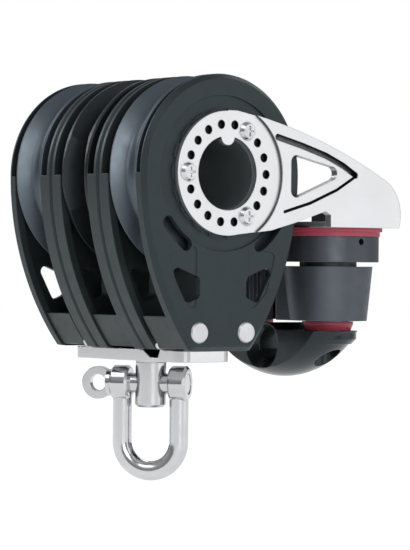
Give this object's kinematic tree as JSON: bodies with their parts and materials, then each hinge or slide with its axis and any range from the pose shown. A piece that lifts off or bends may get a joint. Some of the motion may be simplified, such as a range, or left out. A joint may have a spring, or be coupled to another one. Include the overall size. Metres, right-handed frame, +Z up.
{
  "type": "ratchet block with cam cleat",
  "caption": "Multi-sheave sailing block with a hollow centre, one faceted ratchet sheave, a swivel screw-pin shackle and a side arm carrying a cam cleat with fairlead.",
  "frame": {"origin": "middle of the hollow axle, on its axis and half way through the block", "axes": "+X along the axle to the near side, +Y from the sheaves towards the cleat, +Z up; the shackle hangs along -Z"},
  "size_m": [0.0742, 0.0967, 0.1185],
  "materials": {
    "cheek_plastic": "satin black moulded plastic",
    "hub_plastic": "satin black moulded plastic",
    "sheave_plastic": "smooth black plastic with a polished groove",
    "ratchet_sheave": "hard black anodised, fine grip facets",
    "balls": "white bearing balls",
    "spring_steel": "drawn stainless steel",
    "polished_steel": "polished stainless steel",
    "arm_steel": "bright satin stainless steel",
    "screw_steel": "bright stainless steel",
    "rivet": "pale satin rivet heads",
    "red_plastic": "satin red moulded plastic",
    "cleat_base": "dark grey hard anodised",
    "cam_metal": "dark grey hard anodised",
    "nut": "dark grey",
    "fairlead_plastic": "glossy black"
  },
  "bodies": {
    "frame": {"far_outer_cheek": "cheek_plastic", "far_divider_outer_shell": "cheek_plastic", "far_divider_inner_shell": "cheek_plastic", "near_divider_inner_shell": "cheek_plastic", "near_divider_outer_shell": "cheek_plastic", "near_outer_cheek": "cheek_plastic", "hollow_axle": "hub_plastic", "pawl_pins": "spring_steel", "pawl_springs": "spring_steel", "far_base_spacer": "cheek_plastic", "middle_base_spacer": "cheek_plastic", "near_base_spacer": "cheek_plastic", "base_rivets": "rivet", "base_strap": "polished_steel", "near_arm": "arm_steel", "far_arm": "arm_steel", "arm_cross_plate": "arm_steel", "near_arm_screws": "screw_steel", "far_arm_screws": "screw_steel", "cleat_pad": "red_plastic", "cleat_base": "cleat_base", "cam_posts": "spring_steel", "cam_caps": "red_plastic", "cleat_screws": "polished_steel", "cleat_nuts": "nut", "fairlead": "fairlead_plastic"},
    "far_sheave": {"far_sheave_far_half": "sheave_plastic", "far_sheave_near_half": "sheave_plastic"},
    "ratchet_sheave": {"ratchet_sheave_far_half": "ratchet_sheave", "ratchet_sheave_near_half": "ratchet_sheave"},
    "near_sheave": {"near_sheave_far_half": "sheave_plastic", "near_sheave_near_half": "sheave_plastic"},
    "far_balls": {"far_ball_rows": "balls"},
    "ratchet_balls": {"ratchet_ball_row": "balls"},
    "near_balls": {"near_ball_rows": "balls"},
    "rear_pawl": {"rear_pawl": "spring_steel"},
    "front_pawl": {"front_pawl": "spring_steel"},
    "swivel": {"swivel_post": "polished_steel", "swivel_head": "polished_steel", "swivel_washer": "polished_steel"},
    "shackle": {"shackle_bow": "polished_steel"},
    "shackle_pin": {"shackle_pin": "polished_steel"},
    "near_cam": {"near_cam": "cam_metal", "near_cam_balls": "balls", "near_cam_spring": "spring_steel"},
    "far_cam": {"far_cam": "cam_metal", "far_cam_balls": "balls", "far_cam_spring": "spring_steel"}
  },
  "joints": [
    {"name": "far_sheave_spin", "type": "hinge", "parent": "frame", "child": "far_sheave", "pos_m": [-0.0236, 0, 0], "axis": [1, 0, 0], "continuous": true},
    {"name": "ratchet_sheave_spin", "type": "hinge", "parent": "frame", "child": "ratchet_sheave", "pos_m": [0, 0, 0], "axis": [1, 0, 0], "continuous": true},
    {"name": "near_sheave_spin", "type": "hinge", "parent": "frame", "child": "near_sheave", "pos_m": [0.0236, 0, 0], "axis": [1, 0, 0], "continuous": true},
    {"name": "far_balls_spin", "type": "hinge", "parent": "frame", "child": "far_balls", "pos_m": [-0.0236, 0, 0], "axis": [1, 0, 0], "continuous": true},
    {"name": "ratchet_balls_spin", "type": "hinge", "parent": "frame", "child": "ratchet_balls", "pos_m": [-0.0032, 0, 0], "axis": [1, 0, 0], "continuous": true},
    {"name": "near_balls_spin", "type": "hinge", "parent": "frame", "child": "near_balls", "pos_m": [0.0236, 0, 0], "axis": [1, 0, 0], "continuous": true},
    {"name": "rear_pawl_tilt", "type": "hinge", "parent": "frame", "child": "rear_pawl", "pos_m": [0.0037, 0.0143, 0], "axis": [1, 0, 0], "range_deg": [0, 9], "stiffness_Nm_per_rad": 0.001},
    {"name": "front_pawl_tilt", "type": "hinge", "parent": "frame", "child": "front_pawl", "pos_m": [0.0037, -0.0143, 0], "axis": [1, 0, 0], "range_deg": [0, 9], "stiffness_Nm_per_rad": 0.001},
    {"name": "swivel_turn", "type": "hinge", "parent": "frame", "child": "swivel", "pos_m": [0, 0, -0.055], "axis": [0, 0, 1], "continuous": true},
    {"name": "shackle_swing", "type": "hinge", "parent": "swivel", "child": "shackle", "pos_m": [0, 0, -0.0613], "axis": [0.788, 0.6157, 0], "range_deg": [-90, 90]},
    {"name": "shackle_pin_slide", "type": "slide", "parent": "shackle", "child": "shackle_pin", "axis": [-0.788, -0.6157, 0], "range_m": [0, 0.024]},
    {"name": "near_cam_turn", "type": "hinge", "parent": "frame", "child": "near_cam", "pos_m": [0.019, 0.052, -0.0344], "axis": [0, 0, 1], "range_deg": [-50, 0], "stiffness_Nm_per_rad": 0.02, "springref_deg": 5.73},
    {"name": "far_cam_turn", "type": "hinge", "parent": "frame", "child": "far_cam", "pos_m": [-0.019, 0.052, -0.0344], "axis": [0, 0, 1], "range_deg": [0, 50], "stiffness_Nm_per_rad": 0.02, "springref_deg": -5.73}
  ],
  "couplings": [
    {"joint": "far_balls_spin", "follows": "far_sheave_spin", "ratio": 0.5848},
    {"joint": "ratchet_balls_spin", "follows": "ratchet_sheave_spin", "ratio": 0.5848},
    {"joint": "near_balls_spin", "follows": "near_sheave_spin", "ratio": 0.5848}
  ]
}
